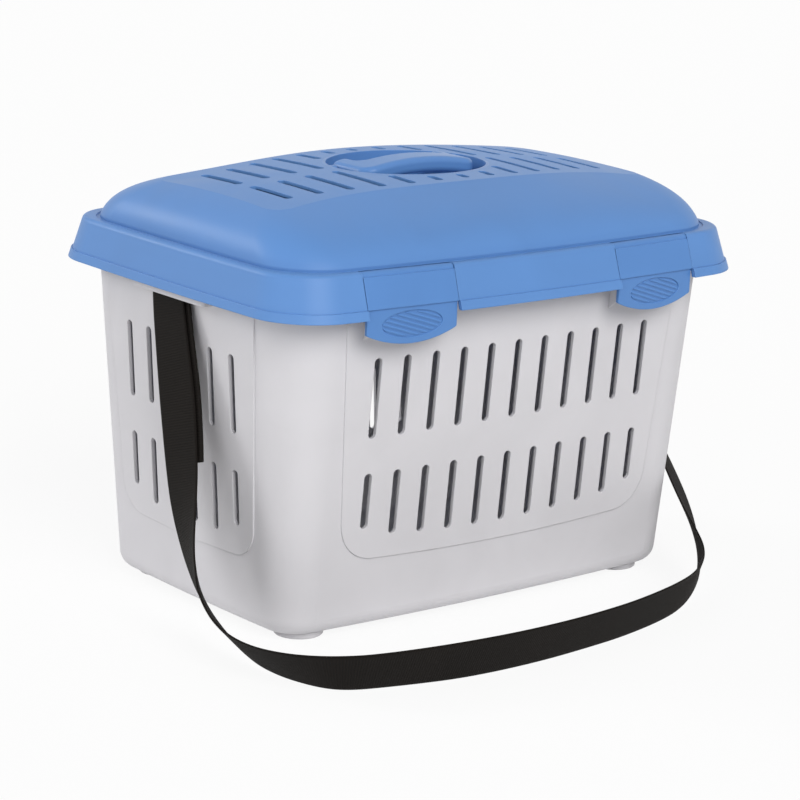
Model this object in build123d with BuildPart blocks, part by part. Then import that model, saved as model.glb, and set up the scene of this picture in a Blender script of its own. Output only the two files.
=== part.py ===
from build123d import *
from math import atan2, degrees
import os

os.makedirs("parts", exist_ok=True)

# Shared clearances
SEAM_GAP = 0.5
TURN_GAP = 0.3
EPS = 0.02

# Tub: half sizes at the ground plane, their growth per millimetre of height, and the bow of each side
TUB_HALF_X = 185.3
TUB_HALF_Y = 112.2
TUB_DRAFT_X = 0.07
TUB_DRAFT_Y = 0.08
TUB_BOW_X = 2.7
TUB_BOW_Y = 6.9
TUB_CORNER_LOW = 29.0
TUB_CORNER_HIGH = 47.0
TUB_BOTTOM_Z = 5.0
TUB_TOP_Z = 266.0
TUB_WALL = 1.8
TUB_FLOOR = 3.0
TUB_EDGE_R = 13.0
PANEL_RISE = 1.1

# Front and rear panel outline
PANEL_TOP_Z = 262.0
PANEL_FRONT_HIGH = 158.0
PANEL_FRONT_LOW = 144.5
PANEL_FRONT_Z = 60.0
PANEL_FRONT_ARCH = 56.0
PANEL_FRONT_R = 30.0
PANEL_SIDE_HIGH = 93.0
PANEL_SIDE_LOW = 81.0
PANEL_SIDE_Z = 58.5
PANEL_SIDE_ARCH = 56.0
PANEL_SIDE_R = 24.0

# Tub slots
SLOT_PITCH = 25.4
SLOT_W = 6.6
SLOT_UP_TOP = 208.3
SLOT_UP_BOTTOM = 149.5
SLOT_LOW_TOP = 123.3
FRONT_LOW_BOTTOMS = [70.0, 70.4, 71.2, 72.8, 75.2, 82.3]
SIDE_UP_TOP = 205.5
SIDE_UP_BOTTOM = 148.0
SIDE_LOW_TOP = 121.0
SIDE_LOW_BOTTOMS = [70.5, 70.8, 80.0]

# Rim bead
RIM_OUT = 1.2
RIM_H = 4.0

# Feet
FOOT_X = 154.0
FOOT_Y = 86.5
FOOT_R = 18.0
FOOT_PAD_H = 3.0

# Lid skirt, shoulder and dome base: half sizes, bows and corners
SKIRT_X = 216.0
SKIRT_Y = 151.0
SKIRT_BOW_X = 3.0
SKIRT_BOW_Y = 10.5
SKIRT_CORNER = 46.0
SKIRT_Z = 242.0
SHOULDER_X = 210.0
SHOULDER_Y = 141.0
SHOULDER_BOW_X = 2.0
SHOULDER_BOW_Y = 10.0
SHOULDER_CORNER = 42.0
SHOULDER_Z = 273.5
SHOULDER_R = 3.6
LID_WALL = 2.4
HEM_H = 6.5
HEM_OUT = 1.2
DOME_X = 202.0
DOME_Y = 132.5
DOME_BOW_X = 2.0
DOME_BOW_Y = 9.5
DOME_CORNER = 46.0
DOME_BASE_Z = 275.0
GROOVE_W = 3.0
GROOVE_D = 0.8

# Dome profiles: front slope and crown
CREST_Z = 318.0
BIG = 400.0

# Lid vents
VENT_PITCH = 24.5
VENT_W = 6.8
VENT_IN = 6.5
VENT_ENDS = [72.0, 71.5, 70.0, 67.0, 62.0, 57.5, 54.0]
VENT_STARTS = [60.0, 56.5, 42.0, 6.5, 6.5, 6.5, 6.5]

# Handle cup and bail
CUP_A = 66.0
CUP_B = 56.0
CUP_WALL = 2.2
CUP_FLOOR_Z = 290.0
CUP_JOINT_GAP = 0.2
BAIL_Z = 311.5
BAIL_BAR_Y = -8.0
BAIL_PIVOT_Y = 16.0
BAIL_HALF = 54.0
BAIL_BAR_W = 26.0
BAIL_ARCH = 6.0
BAIL_LEG_W = 15.0
BAIL_H = 12.0
BAIL_CORNER = 12.0
BAIL_ROUND = 4.5
BAIL_PIN_R = 2.5
BAIL_PIN_L = 10.0

# Clips
CLIP_X = 115.0
CLIP_HALF = 38.6
CLIP_PIN_R = 1.6
CLIP_PIN_IN = 3.6
CLIP_PIN_Z = SHOULDER_Z - SHOULDER_R
CLIP_KNUCKLE_R = 3.5
CLIP_STEP_Z = 248.5
CLIP_TIP_Z = 222.0
CLIP_EDGE_Z = 230.5
CLIP_T = 2.6
CLIP_SET_BACK = 1.4
PAD_A = 26.0
PAD_B = 9.5
PAD_Z = 235.8
PAD_DEPTH = 0.9
PAD_RIBS = 9
PAD_RIB_W = 1.3
PAD_RIB_PITCH = 3.4
PAD_RIB_ANGLE = -18.0
LUG_W = 5.0
HOOK_HALF = 24.0

# Rear hinges
HINGE_X = 115.0
HINGE_R = 5.0
HINGE_Y = SKIRT_Y + SKIRT_BOW_Y + HEM_OUT - HINGE_R
HINGE_Z = 236.0
HINGE_PIN_R = 2.0
HINGE_ARM_HALF = 10.0
HINGE_EAR_T = 5.0

# Strap lugs
STRAP_W = 38.0
STRAP_T = 1.8
STRAP_LUG_HALF = 44.0
STRAP_LUG_X = 214.0
STRAP_LUG_Z = 236.3
STRAP_LUG_T = 4.5
TAIL_SHIFT = 4.5
STRAP_SLOT_L = STRAP_W + TAIL_SHIFT + 7.0
STRAP_SLOT_W = 5.6
STRAP_SLOT_X = 209.2


def bowed(hx, hy, bx, by, r):
    with BuildSketch(mode=Mode.PRIVATE) as sk:
        with BuildLine():
            ThreePointArc((-hx, -hy), (0, -hy - by), (hx, -hy))
            ThreePointArc((hx, -hy), (hx + bx, 0), (hx, hy))
            ThreePointArc((hx, hy), (0, hy + by), (-hx, hy))
            ThreePointArc((-hx, hy), (-hx - bx, 0), (-hx, -hy))
        make_face()
        fillet(sk.vertices(), r)
    return sk.sketch


def bowed_loft(low, high):
    with BuildPart(mode=Mode.PRIVATE) as p:
        for z, hx, hy, bx, by, r in (low, high):
            with BuildSketch(Plane.XY.offset(z)):
                add(bowed(hx, hy, bx, by, r))
        loft(ruled=True)
    return p.part


def tub_section(z, grow):
    hx = TUB_HALF_X + TUB_DRAFT_X * z + grow
    hy = TUB_HALF_Y + TUB_DRAFT_Y * z + grow
    share = (z - TUB_BOTTOM_Z) / (TUB_TOP_Z - TUB_BOTTOM_Z)
    r = TUB_CORNER_LOW + (TUB_CORNER_HIGH - TUB_CORNER_LOW) * share + grow
    return (z, hx, hy, TUB_BOW_X, TUB_BOW_Y, r)


def tub_solid(z0, z1, grow):
    return bowed_loft(tub_section(z0, grow), tub_section(z1, grow))


def panel_face(high, low, z_low, z_arch, r):
    with BuildSketch(mode=Mode.PRIVATE) as sk:
        with BuildLine():
            Polyline((-low, z_low), (-high, PANEL_TOP_Z), (high, PANEL_TOP_Z), (low, z_low))
            ThreePointArc((low, z_low), (0, z_arch), (-low, z_low))
        make_face()
        fillet(sk.vertices().sort_by(Axis.Y)[:2], r)
    return sk.sketch


def slot_face(bottoms, lows_top, up_top, up_bottom, centres):
    with BuildSketch(mode=Mode.PRIVATE) as sk:
        for c, low in zip(centres, bottoms):
            with Locations((c, (up_top + up_bottom) / 2)):
                SlotOverall(up_top - up_bottom, SLOT_W, rotation=90)
            with Locations((c, (lows_top + low) / 2)):
                SlotOverall(lows_top - low, SLOT_W, rotation=90)
    return sk.sketch


front_centres = [(i - 5) * SLOT_PITCH for i in range(11)]
front_bottoms = [FRONT_LOW_BOTTOMS[abs(i - 5)] for i in range(11)]
side_centres = [(i - 2.5) * SLOT_PITCH for i in range(6)]
side_bottoms = [SIDE_LOW_BOTTOMS[int(abs(i - 2.5))] for i in range(6)]

# Tub with raised side panels and its slots
outer = tub_solid(TUB_BOTTOM_Z, TUB_TOP_Z, 0)
outer = fillet(outer.faces().sort_by(Axis.Z)[0].edges(), TUB_EDGE_R)
proud = tub_solid(TUB_BOTTOM_Z, TUB_TOP_Z, PANEL_RISE)
inner = tub_solid(TUB_BOTTOM_Z, TUB_TOP_Z, -TUB_WALL)
with BuildPart() as tub:
    add(outer)
    with BuildPart(mode=Mode.PRIVATE) as panels:
        with BuildSketch(Plane.XZ):
            add(panel_face(PANEL_FRONT_HIGH, PANEL_FRONT_LOW, PANEL_FRONT_Z, PANEL_FRONT_ARCH, PANEL_FRONT_R))
        extrude(amount=BIG / 2, both=True)
        with BuildSketch(Plane.YZ):
            add(panel_face(PANEL_SIDE_HIGH, PANEL_SIDE_LOW, PANEL_SIDE_Z, PANEL_SIDE_ARCH, PANEL_SIDE_R))
        extrude(amount=BIG, both=True)
    add(panels.part & proud)
    with BuildPart(mode=Mode.PRIVATE) as hollow:
        add(inner)
        fillet(hollow.faces().sort_by(Axis.Z)[0].edges(), TUB_EDGE_R - TUB_WALL)
    add(hollow.part.moved(Location((0, 0, TUB_FLOOR))) & tub_solid(TUB_BOTTOM_Z, TUB_TOP_Z + 8, -TUB_WALL),
        mode=Mode.SUBTRACT)
    with BuildSketch(Plane.XZ):
        add(slot_face(front_bottoms, SLOT_LOW_TOP, SLOT_UP_TOP, SLOT_UP_BOTTOM, front_centres))
    extrude(amount=BIG / 2, both=True, mode=Mode.SUBTRACT)
    with BuildSketch(Plane.YZ):
        add(slot_face(side_bottoms, SIDE_LOW_TOP, SIDE_UP_TOP, SIDE_UP_BOTTOM, side_centres))
    extrude(amount=BIG, both=True, mode=Mode.SUBTRACT)
tub.part.label = "tub"
export_step(tub.part, "parts/tub.step")
print("tub", tub.part.volume, len(tub.part.solids()), tub.part.bounding_box())

with BuildPart() as rim_bead:
    add(tub_solid(TUB_TOP_Z - RIM_H, TUB_TOP_Z, RIM_OUT) - tub_solid(TUB_TOP_Z - RIM_H - 1, TUB_TOP_Z + 1, 0))
rim_bead.part.label = "rim_bead"
export_step(rim_bead.part, "parts/rim_bead.step")

# Feet
for name, sx, sy in (("foot_front_left", -1, -1), ("foot_front_right", 1, -1),
                     ("foot_rear_left", -1, 1), ("foot_rear_right", 1, 1)):
    with BuildPart() as foot:
        with BuildSketch():
            with Locations((sx * FOOT_X, sy * FOOT_Y)):
                Circle(FOOT_R)
        extrude(amount=TUB_BOTTOM_Z + FOOT_PAD_H)
        chamfer(foot.edges().group_by(Axis.Z)[0], 0.8)
        add(outer, mode=Mode.SUBTRACT)
    foot.part.label = name
    export_step(foot.part, "parts/" + name + ".step")


def lid_section(kind, z, grow):
    if kind == "skirt":
        share = (z - SKIRT_Z) / (SHOULDER_Z - SKIRT_Z)
        low = (SKIRT_X, SKIRT_Y, SKIRT_BOW_X, SKIRT_BOW_Y, SKIRT_CORNER)
        high = (SHOULDER_X, SHOULDER_Y, SHOULDER_BOW_X, SHOULDER_BOW_Y, SHOULDER_CORNER)
        hx, hy, bx, by, r = [a + (b - a) * share for a, b in zip(low, high)]
    else:
        hx, hy, bx, by, r = (DOME_X, DOME_Y, DOME_BOW_X, DOME_BOW_Y, DOME_CORNER)
    return (z, hx + grow, hy + grow, bx, by, r + grow)


# Level curves of the dome: height, half sizes, bows and corner radius
DOME_LEVELS = [
    (275.0, 202.0, 132.5, 2.0, 9.5, 46.0),
    (288.0, 197.5, 119.0, 2.5, 14.0, 42.0),
    (299.0, 187.0, 96.0, 3.0, 21.0, 32.0),
    (309.5, 166.0, 63.0, 3.0, 31.0, 18.0),
    (317.0, 140.0, 36.0, 3.0, 41.0, 10.0),
    (323.0, 116.0, 14.0, 3.0, 49.0, 6.0),
]
DOME_INSET = 1.8
CROWN_R = 1445.0


def dome_solid(inset, crown):
    with BuildPart(mode=Mode.PRIVATE) as p:
        for z, hx, hy, bx, by, r in DOME_LEVELS:
            with BuildSketch(Plane.XY.offset(z - inset)):
                add(bowed(hx - inset, hy - inset, bx, by, r))
        loft()
        with Locations((0, 0, CREST_Z - crown - CROWN_R)):
            Sphere(CROWN_R, mode=Mode.INTERSECT)
    return p.part


def plan_prism(kind, z0, z1, z_shape, grow):
    z, hx, hy, bx, by, r = lid_section(kind, z_shape, grow)
    with BuildPart(mode=Mode.PRIVATE) as p:
        with BuildSketch(Plane.XY.offset(z0)):
            add(bowed(hx, hy, bx, by, r))
        extrude(amount=z1 - z0)
    return p.part


skirt_outer = bowed_loft(lid_section("skirt", SKIRT_Z, 0), lid_section("skirt", SHOULDER_Z, 0))
skirt_outer = fillet(skirt_outer.faces().sort_by(Axis.Z)[-1].edges(), SHOULDER_R)
dome_outer = dome_solid(0, 0)
lid_top = dome_outer + plan_prism("dome", SHOULDER_Z - LID_WALL - EPS, DOME_BASE_Z, 0, 0)
hem_solid = bowed_loft(lid_section("skirt", SKIRT_Z, HEM_OUT), lid_section("skirt", SKIRT_Z + HEM_H, HEM_OUT))

skirt_inner = bowed_loft(lid_section("skirt", SKIRT_Z - 2, -LID_WALL),
                         lid_section("skirt", SHOULDER_Z - LID_WALL, -LID_WALL))
dome_inner = dome_solid(DOME_INSET, LID_WALL)
dome_inner_base = plan_prism("dome", SHOULDER_Z - LID_WALL - 3, DOME_BASE_Z - DOME_INSET + EPS, 0, -DOME_INSET)

# Clip frame: built at the origin, then set on the curved front
CLIP_RADIUS = (SHOULDER_X ** 2 + SHOULDER_BOW_Y ** 2) / (2 * SHOULDER_BOW_Y)
CLIP_Y = -(SHOULDER_Y + SHOULDER_BOW_Y) + CLIP_X ** 2 / (2 * CLIP_RADIUS)
CLIP_TURN = degrees(atan2(CLIP_X, CLIP_RADIUS))
SKIRT_LEAN = (SKIRT_Y + SKIRT_BOW_Y - SHOULDER_Y - SHOULDER_BOW_Y) / (SHOULDER_Z - SKIRT_Z)


def face_v(z):
    return -SKIRT_LEAN * (SHOULDER_Z - z) + 0.17


def rod(r, length, x, y, z):
    return Location((x, y, z)) * Rot(0, 90, 0) * Cylinder(r, length, mode=Mode.PRIVATE)


def bar_x(r, half, y, z):
    return rod(r, 2 * half, 0, y, z)


def yz_prism(points, half):
    with BuildPart(mode=Mode.PRIVATE) as p:
        with BuildSketch(Plane.YZ):
            with BuildLine():
                Polyline(*points, close=True)
            make_face()
        extrude(amount=half, both=True)
    return p.part


def clip_spot(side):
    return Location((side * CLIP_X, CLIP_Y, 0), (0, 0, side * CLIP_TURN))


CLIP_CUT_HALF = CLIP_HALF + SEAM_GAP
clip_cut = yz_prism([(-40, 215), (CLIP_PIN_IN, 215), (CLIP_PIN_IN, 276), (-40, 276)], CLIP_CUT_HALF)
clip_cut += bar_x(CLIP_KNUCKLE_R + SEAM_GAP, CLIP_CUT_HALF, CLIP_PIN_IN, CLIP_PIN_Z)
lug_block = yz_prism([(-3, 266.3), (7.4, 266.3), (7.4, 271.6), (-3, 271.6)], CLIP_CUT_HALF + LUG_W)
lug_block -= yz_prism([(-9, 260), (12, 260), (12, 276), (-9, 276)], CLIP_CUT_HALF)
pin_bore = bar_x(CLIP_PIN_R, CLIP_CUT_HALF + LUG_W - 1, CLIP_PIN_IN, CLIP_PIN_Z)

# Lid vents
vent_spots = []
with BuildPart() as vents:
    with BuildSketch(Plane.XY.offset(CREST_Z - 30)):
        for i in range(-6, 7):
            start, end = VENT_STARTS[abs(i)], VENT_ENDS[abs(i)]
            for s in (-1, 1):
                with Locations((i * VENT_PITCH, s * (start + end) / 2)):
                    SlotOverall(end - start, VENT_W, rotation=90)
    extrude(amount=50)

with BuildPart() as lid_shell:
    add(skirt_outer)
    add(lid_top)
    add(plan_prism("dome", SHOULDER_Z - GROOVE_D, SHOULDER_Z + 1, 0, GROOVE_W)
        - plan_prism("dome", SHOULDER_Z - GROOVE_D - 1, SHOULDER_Z + 2, 0, 0), mode=Mode.SUBTRACT)
    add(skirt_inner + dome_inner_base + dome_inner, mode=Mode.SUBTRACT)
    add(vents.part, mode=Mode.SUBTRACT)
    with BuildSketch(Plane.XY.offset(CUP_FLOOR_Z - 10)):
        Ellipse(CUP_A, CUP_B)
    extrude(amount=60, mode=Mode.SUBTRACT)
    for side in (-1, 1):
        add(clip_cut.moved(clip_spot(side)), mode=Mode.SUBTRACT)
        add(lug_block.moved(clip_spot(side)) & skirt_outer)
        add(pin_bore.moved(clip_spot(side)), mode=Mode.SUBTRACT)
lid_shell.part.label = "lid_shell"
export_step(lid_shell.part, "parts/lid_shell.step")
print("lid", lid_shell.part.volume, len(lid_shell.part.solids()), lid_shell.part.bounding_box())

with BuildPart() as lid_hem:
    add(hem_solid - bowed_loft(lid_section("skirt", SKIRT_Z - 1, 0), lid_section("skirt", SKIRT_Z + HEM_H + 1, 0)))
    for side in (-1, 1):
        add(clip_cut.moved(clip_spot(side)), mode=Mode.SUBTRACT)
print("hem solids", len(lid_hem.part.solids()))
hem_parts = lid_hem.part.solids().sort_by(Axis.Y)
for name, piece in zip(("hem_front", "hem_rear"), (hem_parts[0], hem_parts[-1])):
    with BuildPart() as hem:
        add(piece)
    hem.part.label = name
    export_step(hem.part, "parts/" + name + ".step")

# Handle cup, flush with the crown of the dome
CUP_BOSS_X = 55.0
CUP_BOSS_R = 4.6
CUP_BOSS_L = 8.0


def oval_prism(a, b, z0, z1):
    with BuildPart(mode=Mode.PRIVATE) as p:
        with BuildSketch(Plane.XY.offset(z0)):
            Ellipse(a, b)
        extrude(amount=z1 - z0)
    return p.part


crown_ball = Location((0, 0, CREST_Z - CROWN_R)) * Sphere(CROWN_R)
cup_body = oval_prism(CUP_A, CUP_B, CUP_FLOOR_Z, CREST_Z + 10) & crown_ball
cup_inside = oval_prism(CUP_A - CUP_WALL, CUP_B - CUP_WALL, CUP_FLOOR_Z + CUP_WALL, CREST_Z + 20)
with BuildPart() as handle_cup:
    add(cup_body - cup_inside)
    for side in (-1, 1):
        boss = rod(CUP_BOSS_R, CUP_BOSS_L, side * (CUP_BOSS_X + CUP_BOSS_L / 2), BAIL_PIVOT_Y, BAIL_Z)
        add(boss & oval_prism(CUP_A, CUP_B, CUP_FLOOR_Z, CREST_Z - 2))
        add(rod(BAIL_PIN_R, BAIL_PIN_L, side * (CUP_BOSS_X + 2), BAIL_PIVOT_Y, BAIL_Z), mode=Mode.SUBTRACT)
handle_cup.part.label = "handle_cup"
export_step(handle_cup.part, "parts/handle_cup.step")
print("cup", handle_cup.part.volume, len(handle_cup.part.solids()))

# Bail handle folded down in the cup: its plan, and the arched band that it is cut to
with BuildPart() as bail_blank:
    with BuildSketch(Plane.XY.offset(CUP_FLOOR_Z)) as bail_plan:
        with BuildLine():
            Polyline((-BAIL_HALF, BAIL_BAR_Y - BAIL_BAR_W / 2), (BAIL_HALF, BAIL_BAR_Y - BAIL_BAR_W / 2),
                     (BAIL_HALF, BAIL_PIVOT_Y + 7), (BAIL_HALF - BAIL_LEG_W, BAIL_PIVOT_Y + 7),
                     (BAIL_HALF - BAIL_LEG_W, BAIL_BAR_Y + BAIL_BAR_W / 2),
                     (-BAIL_HALF + BAIL_LEG_W, BAIL_BAR_Y + BAIL_BAR_W / 2),
                     (-BAIL_HALF + BAIL_LEG_W, BAIL_PIVOT_Y + 7), (-BAIL_HALF, BAIL_PIVOT_Y + 7), close=True)
        make_face()
        fillet(bail_plan.vertices().group_by(Axis.Y)[0], BAIL_CORNER)
        fillet(bail_plan.vertices().group_by(Axis.Y)[-1], 6.0)
        inner_corners = [v for v in bail_plan.vertices() if abs(v.Y - BAIL_BAR_Y - BAIL_BAR_W / 2) < 0.01]
        fillet(inner_corners, 7.0)
    extrude(amount=60)

BAIL_LOW = BAIL_Z - BAIL_H / 2
BAIL_HIGH = BAIL_Z + BAIL_H / 2
with BuildPart() as handle_bail:
    with BuildSketch(Plane.XZ):
        with BuildLine():
            ThreePointArc((-BAIL_HALF, BAIL_LOW), (0, BAIL_LOW + BAIL_ARCH), (BAIL_HALF, BAIL_LOW))
            Line((BAIL_HALF, BAIL_LOW), (BAIL_HALF, BAIL_HIGH))
            ThreePointArc((BAIL_HALF, BAIL_HIGH), (0, BAIL_HIGH + BAIL_ARCH), (-BAIL_HALF, BAIL_HIGH))
            Line((-BAIL_HALF, BAIL_HIGH), (-BAIL_HALF, BAIL_LOW))
        make_face()
    extrude(amount=BIG / 2, both=True)
    add(bail_blank.part, mode=Mode.INTERSECT)
    level_faces = [f for f in handle_bail.faces() if abs(f.normal_at().Z) > 0.8]
    fillet([e for f in level_faces for e in f.edges()], BAIL_ROUND)
    for side in (-1, 1):
        add(rod(BAIL_PIN_R + TURN_GAP, BAIL_PIN_L + 1, side * (BAIL_HALF - 4), BAIL_PIVOT_Y, BAIL_Z),
            mode=Mode.SUBTRACT)
handle_bail.part.label = "handle_bail"
export_step(handle_bail.part, "parts/handle_bail.step")
print("bail", handle_bail.part.volume, len(handle_bail.part.solids()))

for name, side in (("handle_pin_left", -1), ("handle_pin_right", 1)):
    with BuildPart() as handle_pin:
        add(rod(BAIL_PIN_R, BAIL_PIN_L + 2, side * (CUP_BOSS_X + 1 - SEAM_GAP), BAIL_PIVOT_Y, BAIL_Z))
        add(handle_cup.part, mode=Mode.SUBTRACT)
    handle_pin.part.label = name
    export_step(handle_pin.part, "parts/" + name + ".step")

# Front clips: panel flush with the skirt, set-back tongue, oval ribbed pad and inner hook
TONGUE_Y = face_v(CLIP_STEP_Z) + CLIP_SET_BACK
clip_base = yz_prism([(face_v(CLIP_PIN_Z), CLIP_PIN_Z), (face_v(CLIP_STEP_Z), CLIP_STEP_Z),
                      (face_v(CLIP_STEP_Z) + CLIP_T, CLIP_STEP_Z), (face_v(CLIP_PIN_Z) + CLIP_T, CLIP_PIN_Z)],
                     CLIP_HALF)
clip_base += bar_x(CLIP_KNUCKLE_R, CLIP_HALF, CLIP_PIN_IN, CLIP_PIN_Z)
tongue = yz_prism([(TONGUE_Y, CLIP_STEP_Z + 3), (TONGUE_Y, CLIP_TIP_Z), (TONGUE_Y + CLIP_T, CLIP_TIP_Z),
                   (TONGUE_Y + CLIP_T, CLIP_STEP_Z + 3)], CLIP_HALF - 0.4)
with BuildPart() as tongue_shape:
    with BuildSketch(Plane.XZ):
        with BuildLine():
            Polyline((-CLIP_HALF, CLIP_EDGE_Z), (-CLIP_HALF, 260), (CLIP_HALF, 260), (CLIP_HALF, CLIP_EDGE_Z))
            ThreePointArc((CLIP_HALF, CLIP_EDGE_Z), (0, CLIP_TIP_Z), (-CLIP_HALF, CLIP_EDGE_Z))
        make_face()
    extrude(amount=30, both=True)
    fillet(tongue_shape.edges().filter_by(Axis.Y).group_by(Axis.Z)[0], 3.0)
hook = yz_prism([(TONGUE_Y + 1, 231.0), (-1.6, 231.0), (-1.6, 228.5), (TONGUE_Y + 1, 225.0)], HOOK_HALF)
clip_solid = clip_base + (tongue & tongue_shape.part) + hook
clip_solid -= bar_x(CLIP_PIN_R + TURN_GAP, CLIP_HALF + 5, CLIP_PIN_IN, CLIP_PIN_Z)
with BuildPart() as pad_cut:
    with BuildSketch(Plane.XZ.offset(-TONGUE_Y - PAD_DEPTH)):
        with Locations((0, PAD_Z)):
            Ellipse(PAD_A, PAD_B)
    extrude(amount=PAD_DEPTH + 1)
with BuildPart() as pad_ribs:
    with BuildSketch(Plane.XZ.offset(-TONGUE_Y - PAD_DEPTH)) as ribs_face:
        with Locations((0, PAD_Z)):
            Ellipse(PAD_A - 1.2, PAD_B - 1.2)
        with BuildSketch(mode=Mode.PRIVATE) as bars:
            for k in range(PAD_RIBS):
                lift = (k - (PAD_RIBS - 1) / 2) * PAD_RIB_PITCH
                with Locations((0, PAD_Z + lift)):
                    Rectangle(2 * PAD_A, PAD_RIB_W, rotation=PAD_RIB_ANGLE)
        add(bars.sketch, mode=Mode.INTERSECT)
    extrude(amount=PAD_DEPTH - 0.2)
clip_solid = clip_solid - pad_cut.part + pad_ribs.part
for name, side in (("clip_left", -1), ("clip_right", 1)):
    with BuildPart() as clip:
        add(clip_solid.moved(clip_spot(side)))
    clip.part.label = name
    export_step(clip.part, "parts/" + name + ".step")
    print("clip", clip.part.volume, len(clip.part.solids()), clip.part.bounding_box())
for name, side in (("clip_pin_left", -1), ("clip_pin_right", 1)):
    with BuildPart() as clip_pin:
        add(bar_x(CLIP_PIN_R, CLIP_CUT_HALF + LUG_W - 1, CLIP_PIN_IN, CLIP_PIN_Z).moved(clip_spot(side)))
    clip_pin.part.label = name
    export_step(clip_pin.part, "parts/" + name + ".step")

# Catch brackets on the tub front: plate, turned-down lip and three ribs
CATCH_HALF = 28.0
CATCH_TOP = 239.0
CATCH_T = 2.6
CATCH_LIP_Z = 231.5
CATCH_OUT = -1.2
catch_base = yz_prism([(CATCH_OUT, CATCH_TOP), (16, CATCH_TOP), (16, CATCH_TOP - CATCH_T),
                       (CATCH_OUT + CATCH_T, CATCH_TOP - CATCH_T), (CATCH_OUT + CATCH_T, CATCH_LIP_Z),
                       (CATCH_OUT, CATCH_LIP_Z)], CATCH_HALF)
catch_rib = yz_prism([(CATCH_OUT + 1, CATCH_TOP - 1), (16, CATCH_TOP - 1), (16, CATCH_LIP_Z - 12),
                      (CATCH_OUT + 1, CATCH_LIP_Z + 1)], CATCH_T / 2)
for k in (-1, 0, 1):
    catch_base += catch_rib.moved(Location((k * (CATCH_HALF - CATCH_T / 2), 0, 0)))
for name, side in (("catch_left", -1), ("catch_right", 1)):
    with BuildPart() as catch:
        add(catch_base.moved(clip_spot(side)) - outer - proud)
        add(catch.solids().sort_by(SortBy.VOLUME)[-1], mode=Mode.REPLACE)
    catch.part.label = name
    export_step(catch.part, "parts/" + name + ".step")
    print("catch", catch.part.volume, len(catch.part.solids()))

# Rear hinges: ears on the tub, arm and leaf on the lid, pin fixed in the ears
ear_shape = yz_prism([(128, 240.6), (150, 240.6), (HINGE_Y, HINGE_Z + HINGE_R), (HINGE_Y + HINGE_R, HINGE_Z),
                      (HINGE_Y, HINGE_Z - HINGE_R), (128, 214)], HINGE_EAR_T / 2)
ear_shape += bar_x(HINGE_R, HINGE_EAR_T / 2, HINGE_Y, HINGE_Z)
arm_shape = yz_prism([(146, 264), (154.3, 264), (HINGE_Y + HINGE_R - 0.3, SKIRT_Z + 5.5),
                      (HINGE_Y + HINGE_R, HINGE_Z), (HINGE_Y - HINGE_R, HINGE_Z), (HINGE_Y - 4, SKIRT_Z - 0.8),
                      (HINGE_Y - 1, SKIRT_Z), (146, SKIRT_Z)], HINGE_ARM_HALF)
arm_shape += bar_x(HINGE_R, HINGE_ARM_HALF, HINGE_Y, HINGE_Z)
EAR_X = HINGE_ARM_HALF + SEAM_GAP + HINGE_EAR_T / 2
for tag, side in (("left", -1), ("right", 1)):
    spot = Location((side * HINGE_X, 0, 0))
    for end, sx in (("outer", side), ("inner", -side)):
        with BuildPart() as ear:
            add(ear_shape.moved(Location((side * HINGE_X + sx * EAR_X, 0, 0))) - outer - proud)
            add(bar_x(HINGE_PIN_R, 40, HINGE_Y, HINGE_Z).moved(spot), mode=Mode.SUBTRACT)
            add(ear.solids().sort_by(SortBy.VOLUME)[-1], mode=Mode.REPLACE)
        ear.part.label = "hinge_ear_" + end + "_" + tag
        export_step(ear.part, "parts/hinge_ear_" + end + "_" + tag + ".step")
    with BuildPart() as arm:
        add(arm_shape.moved(spot) - skirt_outer - hem_solid - lid_top)
        add(bar_x(HINGE_PIN_R + TURN_GAP, 40, HINGE_Y, HINGE_Z).moved(spot), mode=Mode.SUBTRACT)
        add(arm.solids().sort_by(SortBy.VOLUME)[-1], mode=Mode.REPLACE)
    arm.part.label = "hinge_arm_" + tag
    export_step(arm.part, "parts/hinge_arm_" + tag + ".step")
    with BuildPart() as hinge_pin:
        add(bar_x(HINGE_PIN_R, EAR_X + HINGE_EAR_T / 2 + 1, HINGE_Y, HINGE_Z).moved(spot))
    hinge_pin.part.label = "hinge_pin_" + tag
    export_step(hinge_pin.part, "parts/hinge_pin_" + tag + ".step")
    print("hinge", len(arm.part.solids()), len(ear.part.solids()), arm.part.volume, ear.part.volume)

# Strap lugs on the short sides
for tag, side in (("left", -1), ("right", 1)):
    with BuildPart() as lug:
        with BuildSketch(Plane.XY.offset(STRAP_LUG_Z)):
            with Locations((side * (STRAP_LUG_X - 10), 0)):
                RectangleRounded(20, 2 * STRAP_LUG_HALF, 3.0)
            with Locations((side * STRAP_SLOT_X, 0)):
                SlotOverall(STRAP_SLOT_L, STRAP_SLOT_W, rotation=90, mode=Mode.SUBTRACT)
        extrude(amount=STRAP_LUG_T)
        add(outer, mode=Mode.SUBTRACT)
        add(proud, mode=Mode.SUBTRACT)
        add(lug.solids().sort_by(SortBy.VOLUME)[-1], mode=Mode.REPLACE)
    lug.part.label = "strap_lug_" + tag
    export_step(lug.part, "parts/strap_lug_" + tag + ".step")
    print("lug", lug.part.volume, len(lug.part.solids()), lug.part.bounding_box())

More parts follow.
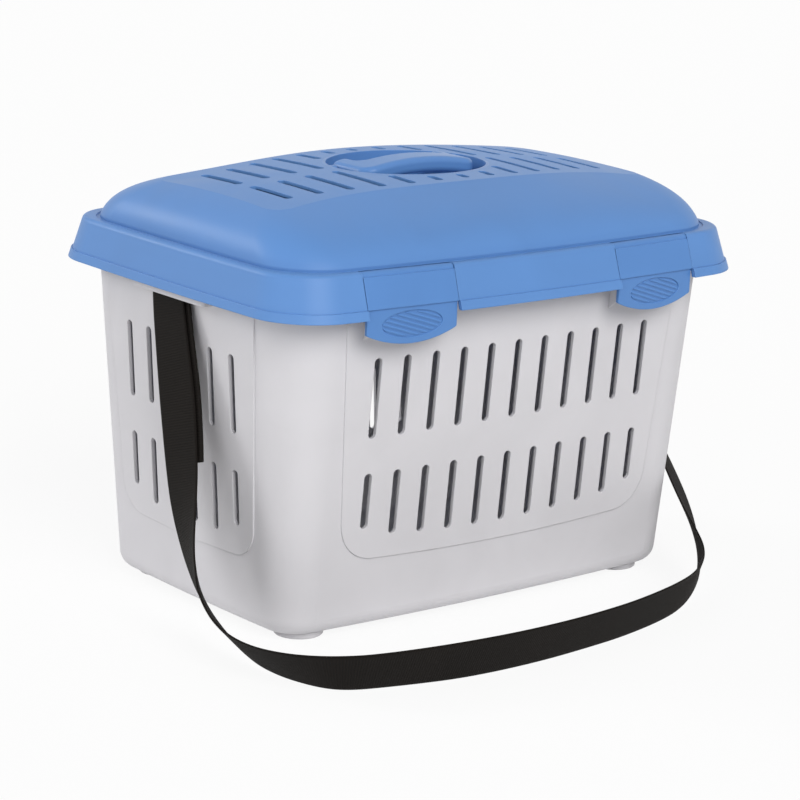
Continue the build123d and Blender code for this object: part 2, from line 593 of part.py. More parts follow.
# Shoulder strap: centre points and the direction from its rear or lower edge to its front or upper edge
STRAP_POINTS = [
    ((-210.4, 3.5, 248), (0, -1, 0)),
    ((-210.6, 3.5, 236), (0, -1, 0)),
    ((-213.5, -7, 203), (0.03, -1, 0)),
    ((-217.5, -21, 165.5), (0.09, -0.99, 0)),
    ((-222, -34, 125), (0.03, -1, 0.05)),
    ((-226, -43.5, 97), (-0.11, -0.99, 0.05)),
    ((-232, -59.5, 67), (-0.37, -0.92, 0.1)),
    ((-238, -81, 45), (-0.5, -0.83, 0.2)),
    ((-241, -100, 33), (-0.6, -0.7, 0.35)),
    ((-241.5, -119, 23.5), (-0.66, -0.5, 0.5)),
    ((-240, -140, 17.2), (-0.69, -0.3, 0.66)),
    ((-237, -162, 15.6), (-0.66, -0.27, 0.7)),
    ((-231, -184, 16.0), (-0.58, -0.33, 0.745)),
    ((-220, -203, 16.6), (-0.45, -0.38, 0.79)),
    ((-204, -216, 17.2), (-0.28, -0.48, 0.82)),
    ((-184, -223.5, 17.6), (-0.19, -0.51, 0.84)),
    ((-154, -231.5, 17.9), (-0.13, -0.5, 0.86)),
    ((-122, -238, 18.2), (-0.06, -0.48, 0.88)),
    ((-84, -241, 18.2), (-0.03, -0.48, 0.88)),
    ((-42, -241, 18.2), (0.03, -0.48, 0.88)),
    ((-3, -238, 18.2), (0.05, -0.48, 0.88)),
    ((35, -233.5, 18.3), (0.05, -0.46, 0.89)),
    ((85, -222, 18.6), (0.1, -0.42, 0.9)),
    ((118, -209, 19.4), (0.08, -0.38, 0.92)),
    ((146, -190, 23), (-0.1, -0.35, 0.93)),
    ((168, -166, 31), (-0.4, -0.2, 0.89)),
    ((184, -140, 43), (-0.6, -0.1, 0.79)),
    ((198.2, -113.5, 57), (-0.73, -0.14, 0.66)),
    ((212, -82, 75), (-0.78, -0.4, 0.45)),
    ((218.5, -50.5, 102), (-0.75, -0.64, 0.28)),
    ((220, -28, 140), (-0.5, -0.85, 0.1)),
    ((217, -12, 180), (-0.2, -0.97, 0)),
    ((211.5, -3, 216), (-0.05, -1, 0)),
    ((208.6, 0, 236), (0, -1, 0)),
    ((208.4, 0, 248), (0, -1, 0)),
]
STRAP_STEPS = 3
TAIL_STATIONS = 12


def blend(a, b, t):
    return a + (b - a) * t


def strap_stations(points, steps):
    spots = [Vector(*p) for p, w in points]
    wides = [Vector(*w) for p, w in points]
    found = []
    last = len(spots) - 1
    for i in range(1, last):
        pairs = []
        for row in (spots, wides):
            first = row[0] if i == 1 else blend(row[i - 1], row[i], 0.5)
            end = row[last] if i == last - 1 else blend(row[i], row[i + 1], 0.5)
            pairs.append((first, row[i], end))
        for k in range(steps + (1 if i == last - 1 else 0)):
            t = k / steps
            spot, wide = [blend(blend(a, b, t), blend(b, c, t), t) for a, b, c in pairs]
            a, b, c = pairs[0]
            along = blend(b - a, c - b, t)
            found.append((spot, wide, along))
    return found


def strap_ribbon(stations, width, lift, shift):
    with BuildPart(mode=Mode.PRIVATE) as p:
        for spot, wide, along in stations:
            face = along.cross(wide).normalized()
            across = face.cross(along).normalized()
            plane = Plane(origin=spot + face * lift + across * shift, x_dir=across, z_dir=along.normalized())
            with BuildSketch(plane):
                Rectangle(width, STRAP_T)
        loft(ruled=True)
    return p.part


stations = strap_stations(STRAP_POINTS, STRAP_STEPS)
length = sum((b[0] - a[0]).length for a, b in zip(stations, stations[1:]))
with BuildPart() as strap:
    add(strap_ribbon(stations, STRAP_W, 0, 0))
strap.part.label = "strap"
export_step(strap.part, "parts/strap.step")
print("strap", length, strap.part.volume, len(strap.part.solids()), strap.part.bounding_box())
with BuildPart() as strap_tail:
    add(strap_ribbon(stations[:TAIL_STATIONS], STRAP_W, -STRAP_T - 0.15, TAIL_SHIFT))
strap_tail.part.label = "strap_tail"
export_step(strap_tail.part, "parts/strap_tail.step")
print("tail", strap_tail.part.volume, strap_tail.part.bounding_box())
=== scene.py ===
"""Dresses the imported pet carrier: moulded plastics, ribbed webbing strap, stage, lights and camera."""

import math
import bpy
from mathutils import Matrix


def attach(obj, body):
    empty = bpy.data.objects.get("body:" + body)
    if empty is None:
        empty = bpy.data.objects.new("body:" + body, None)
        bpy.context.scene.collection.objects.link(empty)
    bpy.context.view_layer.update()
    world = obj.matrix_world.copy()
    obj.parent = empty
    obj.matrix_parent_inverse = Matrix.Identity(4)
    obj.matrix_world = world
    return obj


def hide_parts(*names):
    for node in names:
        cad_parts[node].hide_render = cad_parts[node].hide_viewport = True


bl_info = {
    "name": "Pet carrier dressing",
    "version": (1, 0, 0),
    "blender": (4, 5, 0),
    "location": "3D View > Sidebar > Carrier",
    "description": "Gives the packed pet carrier its plastics, webbing strap, stage, lights and camera",
    "category": "Object",
}

import bpy
from bpy.props import FloatProperty, FloatVectorProperty, IntProperty, PointerProperty
from bpy.types import Operator, Panel, PropertyGroup
from mathutils import Matrix, Vector

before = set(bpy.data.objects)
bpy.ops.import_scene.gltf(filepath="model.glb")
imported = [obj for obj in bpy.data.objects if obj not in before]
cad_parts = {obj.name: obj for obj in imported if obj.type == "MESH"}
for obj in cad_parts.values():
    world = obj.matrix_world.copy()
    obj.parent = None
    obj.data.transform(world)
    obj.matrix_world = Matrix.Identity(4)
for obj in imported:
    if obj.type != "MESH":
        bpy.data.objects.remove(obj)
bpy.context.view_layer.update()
MM = 0.001

TUB_NODES = [
    "tub", "rim_bead", "foot_front_left", "foot_front_right", "foot_rear_left", "foot_rear_right",
    "catch_left", "catch_right", "hinge_ear_outer_left", "hinge_ear_inner_left",
    "hinge_ear_outer_right", "hinge_ear_inner_right", "hinge_pin_left", "hinge_pin_right",
    "strap_lug_left", "strap_lug_right",
]
LID_NODES = ["lid_shell", "hem_front", "hem_rear", "hinge_arm_left", "hinge_arm_right"]
CLIP_NODES = ["clip_left", "clip_right", "clip_pin_left", "clip_pin_right"]
HANDLE_NODES = ["handle_cup", "handle_bail", "handle_pin_left", "handle_pin_right"]

# Plastics, noise: cells per metre
RIPPLE_CELLS = 34.0
FLOW_CELLS = 9.0

# Plastics, flow marks: span of the noise, gain on the colour, and change of the roughness
FLOW_SPAN = (0.3, 0.7)
FLOW_GAINS = (0.965, 1.035)
FLOW_ROUGHNESS = (-0.04, 0.05)

# Plastics, edges lightened partly as wear and partly as painted highlight: cosine between the rounded and the
# flat normal, and share of the lighter colour
WEAR_GLINT_SPAN = (0.995, 0.80)
WEAR_GLINT_SHARES = (0.0, 0.5)

# Plastics, painted shade in corners: reach, openness of the corner, share of the darker colour, and gain on
# it
PAINTED_SHADE_REACH = 9 * MM
PAINTED_SHADE_SPAN = (0.15, 0.75)
PAINTED_SHADE_SHARES = (0.14, 0.0)
PAINTED_SHADE_GAIN = 0.45

# Plastics, relief and shine
RIPPLE_DEPTH = 0.12 * MM
RIPPLE_STRENGTH = 0.5
GRAIN_STRENGTH = 0.6
PLASTIC_IOR = 1.49
PLASTIC_SPECULAR = 0.28

# Webbing: scale of the wave that gives yarns 0.39 mm apart
YARN_SCALE = 806.4516

# Webbing: noise cells per metre
FUZZ_CELLS = 900.0
PATCH_CELLS = 18.0

# Webbing: depth and strength of the relief
YARN_DEPTH = 0.08 * MM
FUZZ_DEPTH = 0.06 * MM
WEBBING_STRENGTH = 0.5

# Webbing: linear colours between the ribs, darkened as painted shade, on the ribs, lightened as painted
# highlight, and where it has faded
SHADED_VALLEY_COLOUR = (0.0025, 0.0017, 0.0012, 1)
LIT_CREST_COLOUR = (0.012, 0.0085, 0.006, 1)
FADED_COLOUR = (0.010, 0.0072, 0.0055, 1)

# Webbing: height on the ribs, and share of the rib colour, which is painted highlight
LIT_CREST_SPAN = (-1.0, 0.8)
LIT_CREST_SHARES = (0.0, 0.75)

# Webbing: span of the patch noise, and share of the faded colour
PATCH_SPAN = (0.45, 0.75)
PATCH_SHARES = (0.0, 0.35)

# Webbing: how far the mesh's columns crowd to the edges, and width of the rounded edge
EDGE_CROWDING = 0.55
EDGE_ROUNDING = 0.9 * MM

# Webbing: shares of the thickness and of the ribs that are left at the edge
EDGE_THICKNESS = 0.42
EDGE_RIBS = 0.12

# Webbing: rows to a rib, rows to each side that give the direction, and points between two of the route's
ROWS_PER_RIB = 4
ROWS_ASIDE = 2
CURVE_POINTS = 24

# Lamps: azimuth, elevation and softness in degrees, and colour; the distance is in metres
KEY_LAMP = (-12, 34, 36, (1.0, 0.995, 0.985))
FILL_LAMP = (-75, 13, 50, (0.99, 0.995, 1.0))
RIM_LAMP = (-143, 24, 20, (1.0, 1.0, 1.0))
LAMP_DISTANCE = 3

# Camera: sensor in millimetres, and furthest distance that it shows in metres
SENSOR_WIDTH = 36.0
FAR_CLIP = 60.0

# Colour of the light and the surround
WHITE = (1.0, 1.0, 1.0, 1)

# Floor: half its width in metres, linear colour, and share of it that shows as plain white
FLOOR_HALF = 14.0
FLOOR_COLOUR = (0.9, 0.9, 0.9, 1)
FLOOR_WHITE_SHARE = 0.9

# Route of the strap, in millimetres: centre points, and the direction across the webbing
STRAP_POINTS = [
    ((-210.4, 3.5, 248), (0, -1, 0)),
    ((-210.6, 3.5, 236), (0, -1, 0)),
    ((-213.5, -7, 203), (0.03, -1, 0)),
    ((-217.5, -21, 165.5), (0.09, -0.99, 0)),
    ((-222, -34, 125), (0.03, -1, 0.05)),
    ((-226, -43.5, 97), (-0.11, -0.99, 0.05)),
    ((-232, -59.5, 67), (-0.37, -0.92, 0.1)),
    ((-238, -81, 45), (-0.5, -0.83, 0.2)),
    ((-241, -100, 33), (-0.6, -0.7, 0.35)),
    ((-241.5, -119, 23.5), (-0.66, -0.5, 0.5)),
    ((-240, -140, 17.2), (-0.69, -0.3, 0.66)),
    ((-237, -162, 15.6), (-0.66, -0.27, 0.7)),
    ((-231, -184, 16.0), (-0.58, -0.33, 0.745)),
    ((-220, -203, 16.6), (-0.45, -0.38, 0.79)),
    ((-204, -216, 17.2), (-0.28, -0.48, 0.82)),
    ((-184, -223.5, 17.6), (-0.19, -0.51, 0.84)),
    ((-154, -231.5, 17.9), (-0.13, -0.5, 0.86)),
    ((-122, -238, 18.2), (-0.06, -0.48, 0.88)),
    ((-84, -241, 18.2), (-0.03, -0.48, 0.88)),
    ((-42, -241, 18.2), (0.03, -0.48, 0.88)),
    ((-3, -238, 18.2), (0.05, -0.48, 0.88)),
    ((35, -233.5, 18.3), (0.05, -0.46, 0.89)),
    ((85, -222, 18.6), (0.1, -0.42, 0.9)),
    ((118, -209, 19.4), (0.08, -0.38, 0.92)),
    ((146, -190, 23), (-0.1, -0.35, 0.93)),
    ((168, -166, 31), (-0.4, -0.2, 0.89)),
    ((184, -140, 43), (-0.6, -0.1, 0.79)),
    ((198.2, -113.5, 57), (-0.73, -0.14, 0.66)),
    ((212, -82, 75), (-0.78, -0.4, 0.45)),
    ((218.5, -50.5, 102), (-0.75, -0.64, 0.28)),
    ((220, -28, 140), (-0.5, -0.85, 0.1)),
    ((217, -12, 180), (-0.2, -0.97, 0)),
    ((211.5, -3, 216), (-0.05, -1, 0)),
    ((208.6, 0, 236), (0, -1, 0)),
    ((208.4, 0, 248), (0, -1, 0)),
]


class CarrierPlastic(PropertyGroup):
    """Finish of the moulded plastics."""

    tub_colour: FloatVectorProperty(
        name="Tub colour", description="Linear colour of the tub",
        default=(0.615, 0.605, 0.63), subtype="COLOR",
    )
    lid_colour: FloatVectorProperty(
        name="Lid colour", description="Linear colour of the lid and the handle",
        default=(0.102, 0.240, 0.535), subtype="COLOR",
    )
    # The clips share the lid's blue; this default is a little darker as painted shade.
    clip_shaded_colour: FloatVectorProperty(
        name="Clip colour", description="Linear colour of the clips",
        default=(0.090, 0.222, 0.512), subtype="COLOR",
    )
    grain_pitch: FloatProperty(
        name="Grain pitch", description="Distance between the dimples of the mould's fine texture",
        default=0.9 * MM, unit="LENGTH",
    )
    grain_depth: FloatProperty(
        name="Grain depth", description="Depth of the mould's fine texture",
        default=0.03 * MM, unit="LENGTH",
    )
    edge_radius: FloatProperty(
        name="Edge radius", description="Rounding of moulded edges",
        default=0.9 * MM, unit="LENGTH",
    )
    roughness: FloatProperty(name="Roughness", description="Mean roughness of the plastic", default=0.42)


class CarrierStrap(PropertyGroup):
    """Sizes of the webbing."""

    length: FloatProperty(
        name="Length", description="Length of the strap from lug to lug",
        default=1.077, unit="LENGTH",
    )
    width: FloatProperty(
        name="Width", description="Width of the webbing",
        default=38 * MM, unit="LENGTH",
    )
    thickness: FloatProperty(
        name="Thickness", description="Thickness of the webbing",
        default=1.8 * MM, unit="LENGTH",
    )
    rib_pitch: FloatProperty(
        name="Rib pitch", description="Distance between cross ribs",
        default=1.9 * MM, unit="LENGTH",
    )
    rib_depth: FloatProperty(
        name="Rib depth", description="Height of a cross rib over the valley beside it",
        default=0.24 * MM, unit="LENGTH",
    )
    selvedge: FloatProperty(
        name="Selvedge", description="Width of the plain woven edge",
        default=2.2 * MM, unit="LENGTH",
    )
    tail_length: FloatProperty(
        name="Tail length", description="Length of the loose end behind the strap",
        default=0.133, unit="LENGTH",
    )
    tail_lift: FloatProperty(
        name="Tail lift", description="Distance from the strap to its loose end, below zero when behind it",
        default=-1.95 * MM, unit="LENGTH",
    )
    tail_shift: FloatProperty(
        name="Tail shift", description="Sideways step of the loose end",
        default=4.5 * MM, unit="LENGTH",
    )
    columns: IntProperty(name="Columns", description="Strips across the webbing", default=18)


class CarrierStage(PropertyGroup):
    """Viewpoint and light."""

    azimuth: FloatProperty(
        name="Azimuth", description="Direction of the camera round the carrier",
        default=math.radians(-39.39), unit="ROTATION",
    )
    elevation: FloatProperty(
        name="Elevation", description="Angle of the camera above the ground",
        default=math.radians(13.99), unit="ROTATION",
    )
    roll: FloatProperty(
        name="Roll", description="Tilt of the camera about its line of sight",
        default=math.radians(2.25), unit="ROTATION",
    )
    distance: FloatProperty(
        name="Distance", description="Distance from the camera to its target",
        default=2.11766, unit="LENGTH",
    )
    target: FloatVectorProperty(
        name="Target", description="Point that the camera looks at",
        default=(3.25 * MM, 0, 132.71 * MM), subtype="TRANSLATION",
    )
    lens: FloatProperty(
        name="Focal length", description="Focal length over a 36 mm sensor, in millimetres",
        default=124.588,
    )
    sky: FloatProperty(name="Sky", description="Strength of the even light from all round", default=0.3)
    key: FloatProperty(name="Key", description="Strength of the main light", default=2.15)
    fill: FloatProperty(name="Fill", description="Strength of the light from the left", default=0.7)
    rim: FloatProperty(name="Rim", description="Strength of the light from behind on the left", default=1.0)


def shader(name):
    """A new node material with its principled shader."""
    material = bpy.data.materials.new(name)
    material.use_nodes = True
    return material, material.node_tree, material.node_tree.nodes["Principled BSDF"]


def node(tree, kind, inputs=None, **settings):
    """A shader node with its settings, input values and links."""
    made = tree.nodes.new(kind)
    for key, value in settings.items():
        setattr(made, key, value)
    for key, value in (inputs or {}).items():
        if isinstance(value, bpy.types.NodeSocket):
            tree.links.new(value, made.inputs[key])
        else:
            made.inputs[key].default_value = value
    return made


def mixed_colour(tree, share, low, high):
    """A socket with the colour between low and high; each is a colour or a socket."""
    made = node(tree, "ShaderNodeMix", data_type="RGBA")
    tree.links.new(share, made.inputs[0])
    for spot, value in ((6, low), (7, high)):
        if isinstance(value, bpy.types.NodeSocket):
            tree.links.new(value, made.inputs[spot])
        else:
            made.inputs[spot].default_value = value
    return made.outputs[2]


def tint(colour, gain):
    """The colour scaled, with full opacity."""
    return (*[min(1.0, c * gain) for c in colour], 1.0)


def maths(tree, operation, *values):
    """A socket with the outcome of one operation on numbers or sockets."""
    return node(tree, "ShaderNodeMath", dict(enumerate(values)), operation=operation).outputs[0]


def noise(tree, place, cells, detail, **more):
    """A socket with smooth noise of so many cells per metre."""
    return node(
        tree, "ShaderNodeTexNoise", {"Vector": place, "Scale": cells, "Detail": detail, **more}
    ).outputs["Fac"]


def spanned(tree, value, span, result=(0.0, 1.0)):
    """A socket with the value brought from one span to another and held at its ends."""
    return node(
        tree, "ShaderNodeMapRange",
        {"Value": value, "From Min": span[0], "From Max": span[1], "To Min": result[0], "To Max": result[1]},
    ).outputs["Result"]


def bump(tree, height, strength, depth, **more):
    """A socket with the normal bent by a relief of this depth."""
    return node(
        tree, "ShaderNodeBump", {"Height": height, "Strength": strength, "Distance": depth, **more}
    ).outputs["Normal"]


def moulded(name, colour, finish, rougher, wear_glint_gain):
    """Injection moulded plastic: fine grain, faint flow marks, soft edges lightened partly as wear and partly
    as painted highlight, and corners darkened as painted shade.
    """
    material, tree, bsdf = shader(name)
    place = node(tree, "ShaderNodeTexCoord").outputs["Object"]
    grain = noise(tree, place, 1 / finish.grain_pitch, 2.0)
    ripple = noise(tree, place, RIPPLE_CELLS, 1.0, Roughness=0.4)
    flow = noise(tree, place, FLOW_CELLS, 4.0, Distortion=1.2)
    low, high = FLOW_GAINS
    body = mixed_colour(tree, spanned(tree, flow, FLOW_SPAN), tint(colour, low), tint(colour, high))
    rounded = node(tree, "ShaderNodeBevel", {"Radius": finish.edge_radius}, samples=6).outputs["Normal"]
    flat = node(tree, "ShaderNodeNewGeometry").outputs["Normal"]
    # Edges turn lighter where the rounded normal leaves the flat one: partly wear, partly painted highlight.
    turn = node(tree, "ShaderNodeVectorMath", {0: rounded, 1: flat}, operation="DOT_PRODUCT")
    edge = spanned(tree, turn.outputs["Value"], WEAR_GLINT_SPAN, WEAR_GLINT_SHARES)
    worn_glint_colour = mixed_colour(tree, edge, body, tint(colour, wear_glint_gain))
    # Ambient occlusion darkens the colour in corners and hollows: painted shade.
    corner = node(tree, "ShaderNodeAmbientOcclusion", {"Distance": PAINTED_SHADE_REACH}, samples=4)
    painted_shade = spanned(tree, corner.outputs["AO"], PAINTED_SHADE_SPAN, PAINTED_SHADE_SHARES)
    shaded_colour = mixed_colour(tree, painted_shade, worn_glint_colour, tint(colour, PAINTED_SHADE_GAIN))
    tree.links.new(shaded_colour, bsdf.inputs["Base Color"])
    roughness = finish.roughness + rougher
    shine = spanned(tree, flow, FLOW_SPAN, [roughness + change for change in FLOW_ROUGHNESS])
    tree.links.new(shine, bsdf.inputs["Roughness"])
    wave = bump(tree, ripple, RIPPLE_STRENGTH, RIPPLE_DEPTH, Normal=rounded)
    pebble = bump(tree, grain, GRAIN_STRENGTH, finish.grain_depth, Normal=wave)
    tree.links.new(pebble, bsdf.inputs["Normal"])
    bsdf.inputs["IOR"].default_value = PLASTIC_IOR
    bsdf.inputs["Specular IOR Level"].default_value = PLASTIC_SPECULAR
    return material


def webbing(name, strap):
    """Near-black woven webbing with fine yarns, ribs lightened as painted highlight over valleys darkened as
    painted shade, and faded patches.
    """
    material, tree, bsdf = shader(name)
    spread = node(tree, "ShaderNodeUVMap", uv_map="webbing").outputs["UV"]
    split = node(tree, "ShaderNodeSeparateXYZ", {"Vector": spread})
    yarn = node(
        tree, "ShaderNodeTexWave",
        {"Vector": spread, "Scale": YARN_SCALE, "Distortion": 0.6, "Detail": 1.0},
        wave_type="BANDS", bands_direction="X",
    ).outputs["Fac"]
    fuzz = noise(tree, spread, FUZZ_CELLS, 3.0)
    patch = noise(tree, spread, PATCH_CELLS, 3.0)
    rib = maths(tree, "MULTIPLY", split.outputs["Y"], math.tau / strap.rib_pitch)
    # Rib crests lighter and valleys darker in the colour: painted highlight and painted shade.
    lit_crest = spanned(tree, maths(tree, "COSINE", rib), LIT_CREST_SPAN, LIT_CREST_SHARES)
    base = mixed_colour(tree, maths(tree, "MULTIPLY", lit_crest, fuzz), SHADED_VALLEY_COLOUR, LIT_CREST_COLOUR)
    faded = mixed_colour(tree, spanned(tree, patch, PATCH_SPAN, PATCH_SHARES), base, FADED_COLOUR)
    tree.links.new(faded, bsdf.inputs["Base Color"])
    yarns = bump(tree, yarn, WEBBING_STRENGTH, YARN_DEPTH)
    fibres = bump(tree, fuzz, WEBBING_STRENGTH, FUZZ_DEPTH, Normal=yarns)
    tree.links.new(fibres, bsdf.inputs["Normal"])
    bsdf.inputs["Roughness"].default_value = 0.72
    bsdf.inputs["Specular IOR Level"].default_value = 0.1
    bsdf.inputs["Sheen Weight"].default_value = 0.02
    bsdf.inputs["Sheen Roughness"].default_value = 0.5
    return material


def dress(names, material):
    """Gives the CAD nodes one material."""
    for name in names:
        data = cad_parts[name].data
        data.materials.clear()
        data.materials.append(material)


def spline_points(name, points):
    """Points read from a smooth spline with these control points."""
    data = bpy.data.curves.new(name, "CURVE")
    data.dimensions = "3D"
    data.resolution_u = CURVE_POINTS
    spline = data.splines.new("NURBS")
    spline.points.add(len(points) - 1)
    for spot, point in zip(spline.points, points):
        spot.co = (*point, 1)
    spline.order_u = 3
    spline.use_endpoint_u = True
    holder = bpy.data.objects.new(name, data)
    mesh = bpy.data.meshes.new_from_object(holder)
    found = [v.co.copy() for v in mesh.vertices]
    bpy.data.objects.remove(holder)
    bpy.data.curves.remove(data)
    bpy.data.meshes.remove(mesh)
    return found


def even_rows(spots, wides, step, length=math.inf):
    """Middle, width direction and distance at even steps along the line, for its first length."""
    distance = [0.0]
    for a, b in zip(spots, spots[1:]):
        distance.append(distance[-1] + (b - a).length)
    end = min(length, distance[-1])
    count = max(2, round(end / step))
    rows = []
    i = 0
    for k in range(count + 1):
        along = end * k / count
        while i < len(spots) - 2 and distance[i + 1] < along:
            i += 1
        t = (along - distance[i]) / max(1e-9, distance[i + 1] - distance[i])
        rows.append((spots[i].lerp(spots[i + 1], t), wides[i].lerp(wides[i + 1], t), along))
    return rows


def cross_section(strap):
    """Places across the webbing, each with its share of the thickness and of the ribs."""
    half = strap.width / 2
    section = []
    for c in range(strap.columns + 1):
        crowded = -math.cos(math.pi * c / strap.columns)
        even = 2 * c / strap.columns - 1
        s = EDGE_CROWDING * crowded + (1 - EDGE_CROWDING) * even
        inset = half * (1 - abs(s))
        fullness = min(1.0, inset / EDGE_ROUNDING)
        arc = math.sqrt(max(0.0, 1 - (1 - fullness) ** 2))
        thick = EDGE_THICKNESS + (1 - EDGE_THICKNESS) * arc
        ribbed = min(1.0, max(EDGE_RIBS, (inset - 0.5 * strap.selvedge) / strap.selvedge))
        section.append((s * half, thick, ribbed))
    return section


def ribbon(name, rows, strap, lift=0.0, shift=0.0):
    """A ribbed webbing ribbon along the rows, as one closed mesh with its own coordinates."""
    section = cross_section(strap)
    vertices = []
    spread = []
    last = len(rows) - 1
    base = 0.5 * strap.thickness - 0.5 * strap.rib_depth
    for k, (spot, wide, along) in enumerate(rows):
        before = rows[max(0, k - ROWS_ASIDE)][0]
        after = rows[min(last, k + ROWS_ASIDE)][0]
        line = (after - before).normalized()
        face = line.cross(wide).normalized()
        across = face.cross(line).normalized()
        middle = spot + face * lift + across * shift
        swell = 0.5 * strap.rib_depth * math.cos(math.tau * along / strap.rib_pitch)
        for side, places in ((1, section), (-1, reversed(section))):
            for s, thick, ribbed in places:
                vertices.append(middle + across * s + face * (side * (base * thick + swell * ribbed)))
                spread.append((s, along))
    ring = 2 * len(section)
    faces = []
    for k in range(last):
        for c in range(ring):
            d = (c + 1) % ring
            faces.append((k * ring + c, k * ring + d, (k + 1) * ring + d, (k + 1) * ring + c))
    faces.append(tuple(reversed(range(ring))))
    faces.append(tuple(range(last * ring, (last + 1) * ring)))
    mesh = bpy.data.meshes.new(name)
    mesh.from_pydata(vertices, [], faces)
    layer = mesh.uv_layers.new(name="webbing")
    for loop in mesh.loops:
        layer.data[loop.index].uv = spread[loop.vertex_index]
    mesh.shade_smooth()
    mesh.update()
    made = bpy.data.objects.new(name, mesh)
    bpy.context.scene.collection.objects.link(made)
    return made


def direction(azimuth, elevation):
    """The way from the carrier to a spot round it; azimuth zero is straight in front."""
    return Vector((
        math.sin(azimuth) * math.cos(elevation),
        -math.cos(azimuth) * math.cos(elevation),
        math.sin(elevation),
    ))


def sun(name, strength, azimuth, elevation, softness, colour):
    """A soft far light from a direction round the carrier."""
    data = bpy.data.lights.new(name, "SUN")
    data.energy = strength
    data.angle = math.radians(softness)
    data.color = colour
    made = bpy.data.objects.new(name, data)
    back = direction(math.radians(azimuth), math.radians(elevation))
    made.rotation_mode = "QUATERNION"
    made.rotation_quaternion = back.to_track_quat("Z", "Y")
    made.location = back * LAMP_DISTANCE
    bpy.context.scene.collection.objects.link(made)


def seen_directly(tree):
    """A socket that is 1 for what the camera, a gloss or a glass shows."""
    path = node(tree, "ShaderNodeLightPath").outputs
    seen = maths(tree, "MAXIMUM", path["Is Camera Ray"], path["Is Glossy Ray"])
    return maths(tree, "MAXIMUM", seen, path["Is Transmission Ray"])


def blended(tree, share, low, high, surface):
    """Sends two shaders, mixed by the share, to the surface."""
    both = node(tree, "ShaderNodeMixShader", {0: share, 1: low, 2: high})
    tree.links.new(both.outputs[0], surface)


def set_camera(scene, stage):
    """Looks at the carrier from the photograph's viewpoint."""
    back = direction(stage.azimuth, stage.elevation)
    right = (-back).cross(Vector((0, 0, 1))).normalized()
    up = right.cross(-back)
    level = math.cos(stage.roll)
    tilt = math.sin(stage.roll)
    axes = (right * level + up * tilt, up * level - right * tilt, back)
    data = bpy.data.cameras.new("camera")
    data.lens = stage.lens
    data.sensor_width = SENSOR_WIDTH
    data.clip_end = FAR_CLIP
    camera = bpy.data.objects.new("camera", data)
    camera.matrix_world = (
        Matrix.Translation(Vector(stage.target) + back * stage.distance)
        @ Matrix(axes).transposed().to_4x4()
    )
    scene.collection.objects.link(camera)
    scene.camera = camera
    scene.view_settings.view_transform = "Standard"


def set_surround(scene, strength):
    """A surround that looks white and gives an even light of this strength."""
    world = bpy.data.worlds.new("surround")
    scene.world = world
    world.use_nodes = True
    tree = world.node_tree
    light = tree.nodes["Background"]
    light.inputs["Color"].default_value = WHITE
    light.inputs["Strength"].default_value = strength
    white = node(tree, "ShaderNodeBackground", {"Color": WHITE, "Strength": 1.0})
    surface = tree.nodes["World Output"].inputs["Surface"]
    blended(tree, seen_directly(tree), light.outputs[0], white.outputs[0], surface)


def add_floor(scene):
    """A wide pale floor that looks nearly white and keeps the carrier's shadow."""
    mesh = bpy.data.meshes.new("floor")
    far = FLOOR_HALF
    mesh.from_pydata([(-far, -far, 0), (far, -far, 0), (far, far, 0), (-far, far, 0)], [], [(0, 1, 2, 3)])
    floor = bpy.data.objects.new("floor", mesh)
    scene.collection.objects.link(floor)
    material, tree, bsdf = shader("pale_floor")
    bsdf.inputs["Base Color"].default_value = FLOOR_COLOUR
    bsdf.inputs["Roughness"].default_value = 0.9
    bsdf.inputs["Specular IOR Level"].default_value = 0.1
    glow = node(tree, "ShaderNodeEmission", {"Color": WHITE, "Strength": 1.0})
    share = maths(tree, "MULTIPLY", seen_directly(tree), FLOOR_WHITE_SHARE)
    surface = tree.nodes["Material Output"].inputs["Surface"]
    blended(tree, share, bsdf.outputs[0], glow.outputs[0], surface)
    mesh.materials.append(material)


class CARRIER_OT_stage(Operator):
    """Sets the camera, the lights, the white surround and the floor"""

    bl_idname = "carrier.stage"
    bl_label = "Set the stage"

    def execute(self, context):
        scene = context.scene
        stage = scene.carrier_stage
        set_camera(scene, stage)
        set_surround(scene, stage.sky)
        sun("key_light", stage.key, *KEY_LAMP)
        sun("fill_light", stage.fill, *FILL_LAMP)
        sun("rim_light", stage.rim, *RIM_LAMP)
        add_floor(scene)
        return {"FINISHED"}


class CARRIER_OT_strap(Operator):
    """Weaves the shoulder strap and its loose end along their route"""

    bl_idname = "carrier.strap"
    bl_label = "Weave the strap"

    def execute(self, context):
        strap = context.scene.carrier_strap
        spots = spline_points("strap_line", [Vector(p) * MM for p, w in STRAP_POINTS])
        wides = spline_points("strap_width", [Vector(w) for p, w in STRAP_POINTS])
        step = strap.rib_pitch / ROWS_PER_RIB
        cloth = webbing("strap_webbing", strap)
        main = ribbon("webbing_strap", even_rows(spots, wides, step), strap)
        tail_rows = even_rows(spots, wides, step, strap.tail_length)
        tail = ribbon("webbing_tail", tail_rows, strap, strap.tail_lift, strap.tail_shift)
        for piece, replaced in ((main, "strap"), (tail, "strap_tail")):
            piece.data.materials.append(cloth)
            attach(piece, "base")
            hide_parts(replaced)
        return {"FINISHED"}


class CARRIER_OT_tub(Operator):
    """Gives the tub, its feet, catches, hinge ears and strap lugs their pale grey plastic"""

    bl_idname = "carrier.tub"
    bl_label = "Finish the tub"

    def execute(self, context):
        finish = context.scene.carrier_plastic
        plastic = moulded("tub_moulding", finish.tub_colour, finish, rougher=0.05, wear_glint_gain=1.25)
        dress(TUB_NODES, plastic)
        return {"FINISHED"}


class CARRIER_OT_lid(Operator):
    """Gives the lid, its hems and hinge arms their blue plastic"""

    bl_idname = "carrier.lid"
    bl_label = "Finish the lid"

    def execute(self, context):
        finish = context.scene.carrier_plastic
        plastic = moulded("lid_moulding", finish.lid_colour, finish, rougher=0.0, wear_glint_gain=1.5)
        dress(LID_NODES, plastic)
        return {"FINISHED"}


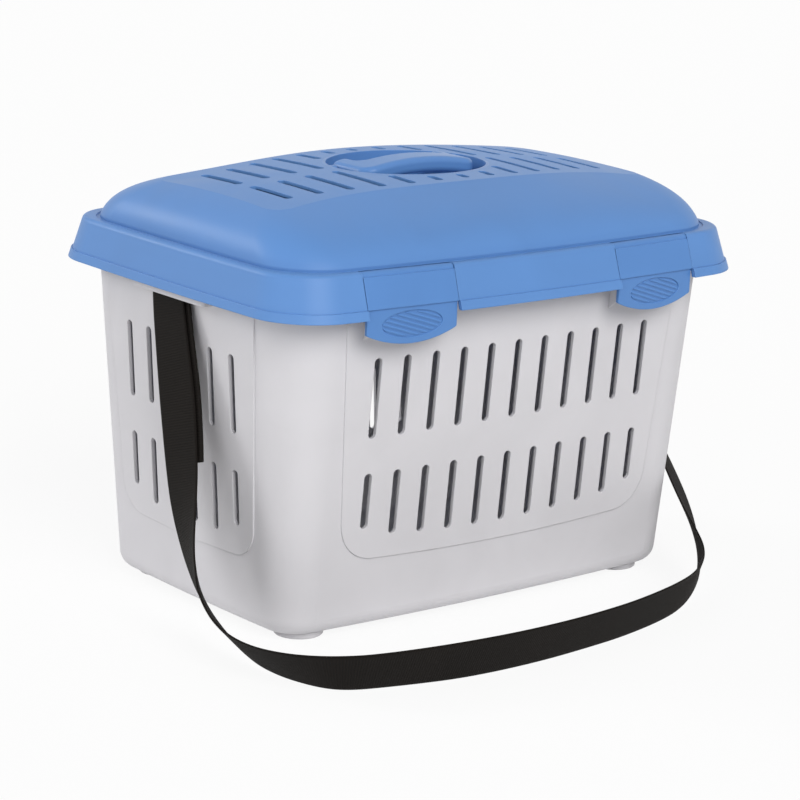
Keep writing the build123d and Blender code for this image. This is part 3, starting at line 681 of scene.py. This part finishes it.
class CARRIER_OT_clips(Operator):
    """Gives the clips and their pins the lid's blue plastic, a little darker as painted shade"""

    bl_idname = "carrier.clips"
    bl_label = "Finish the clips"

    def execute(self, context):
        finish = context.scene.carrier_plastic
        plastic = moulded("clip_moulding", finish.clip_shaded_colour, finish, rougher=-0.04, wear_glint_gain=1.6)
        dress(CLIP_NODES, plastic)
        return {"FINISHED"}


class CARRIER_OT_handle(Operator):
    """Gives the handle, its cup and its pivots their blue plastic"""

    bl_idname = "carrier.handle"
    bl_label = "Finish the handle"

    def execute(self, context):
        finish = context.scene.carrier_plastic
        plastic = moulded("handle_moulding", finish.lid_colour, finish, rougher=-0.05, wear_glint_gain=1.4)
        dress(HANDLE_NODES, plastic)
        return {"FINISHED"}


class CARRIER_PT_panel(Panel):
    """Settings and steps of the dressing"""

    bl_idname = "CARRIER_PT_panel"
    bl_label = "Pet carrier"
    bl_space_type = "VIEW_3D"
    bl_region_type = "UI"
    bl_category = "Carrier"

    def draw(self, context):
        column = self.layout.column()
        for step in ("stage", "strap", "tub", "lid", "clips", "handle"):
            column.operator("carrier." + step)
        scene = context.scene
        for group in (scene.carrier_plastic, scene.carrier_strap, scene.carrier_stage):
            box = self.layout.box()
            for key in group.__annotations__:
                box.prop(group, key)


CLASSES = (
    CarrierPlastic, CarrierStrap, CarrierStage, CARRIER_OT_stage, CARRIER_OT_strap, CARRIER_OT_tub,
    CARRIER_OT_lid, CARRIER_OT_clips, CARRIER_OT_handle, CARRIER_PT_panel,
)


def register():
    """Adds the classes and the scene's settings."""
    for item in CLASSES:
        bpy.utils.register_class(item)
    bpy.types.Scene.carrier_plastic = PointerProperty(type=CarrierPlastic)
    bpy.types.Scene.carrier_strap = PointerProperty(type=CarrierStrap)
    bpy.types.Scene.carrier_stage = PointerProperty(type=CarrierStage)


def unregister():
    """Takes the scene's settings and the classes away again."""
    del bpy.types.Scene.carrier_stage
    del bpy.types.Scene.carrier_strap
    del bpy.types.Scene.carrier_plastic
    for item in reversed(CLASSES):
        bpy.utils.unregister_class(item)


def main():
    """Runs every step."""
    register()
    bpy.ops.carrier.stage()
    bpy.ops.carrier.strap()
    bpy.ops.carrier.tub()
    bpy.ops.carrier.lid()
    bpy.ops.carrier.clips()
    bpy.ops.carrier.handle()
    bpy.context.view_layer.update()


if __name__ == "__main__":
    main()
